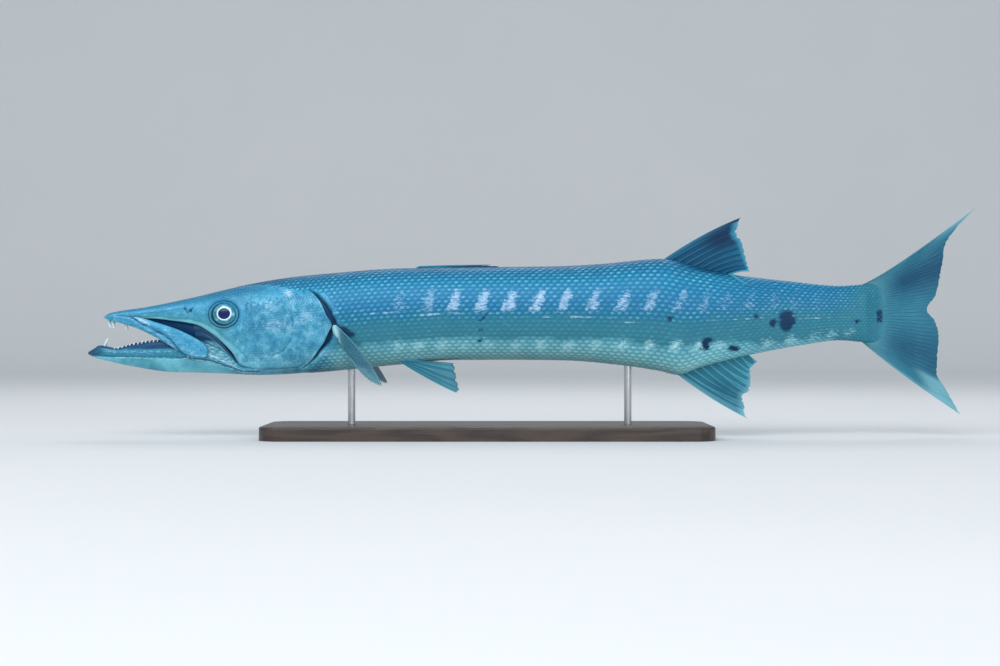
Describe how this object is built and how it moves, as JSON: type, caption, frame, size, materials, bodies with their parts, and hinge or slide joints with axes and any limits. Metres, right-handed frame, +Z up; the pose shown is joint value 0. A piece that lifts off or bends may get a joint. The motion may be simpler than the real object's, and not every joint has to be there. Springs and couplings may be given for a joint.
{
  "type": "barracuda",
  "caption": "Life-size still model of a great barracuda with its mouth open, held level over a flat wooden base by short steel rods.",
  "frame": {"origin": "middle of the base's underside", "axes": "+X from the head towards the tail, +Z up, the fish's left side faces -Y"},
  "size_m": [1.2007, 0.2, 0.3127],
  "materials": {
    "head_skin": "wet silvery blue skin with fine scales on the cheek and gill cover",
    "jaw_skin": "smooth wet skin over bone, silvery blue",
    "body_skin": "silvery teal scales with paler bars above the flank and dark blotches behind",
    "fin_membrane": "thin ribbed fin skin",
    "eye": "wet eye with a dark pupil",
    "mouth_flesh": "wet flesh",
    "stand_wood": "dark oiled wood",
    "stand_steel": "brushed steel"
  },
  "bodies": {
    "root": {"head": "head_skin", "lower_jaw": "jaw_skin", "tongue": "mouth_flesh", "upper_jaw_left": "jaw_skin", "upper_jaw_right": "jaw_skin", "eye_left": "eye", "eye_right": "eye", "gill_cover_left": "head_skin", "gill_cover_right": "head_skin", "body_shoulder": "body_skin", "body_middle": "body_skin", "body_rear": "body_skin", "tail_stalk": "body_skin", "dorsal_fin_first": "fin_membrane", "dorsal_fin_second": "fin_membrane", "anal_fin": "fin_membrane", "tail_fin_upper": "fin_membrane", "tail_fin_lower": "fin_membrane", "pectoral_fin_left": "fin_membrane", "pectoral_fin_right": "fin_membrane", "pelvic_fin_left": "fin_membrane", "pelvic_fin_right": "fin_membrane", "stand_base": "stand_wood", "stand_rod_front": "stand_steel", "stand_rod_rear": "stand_steel"}
  },
  "joints": []
}
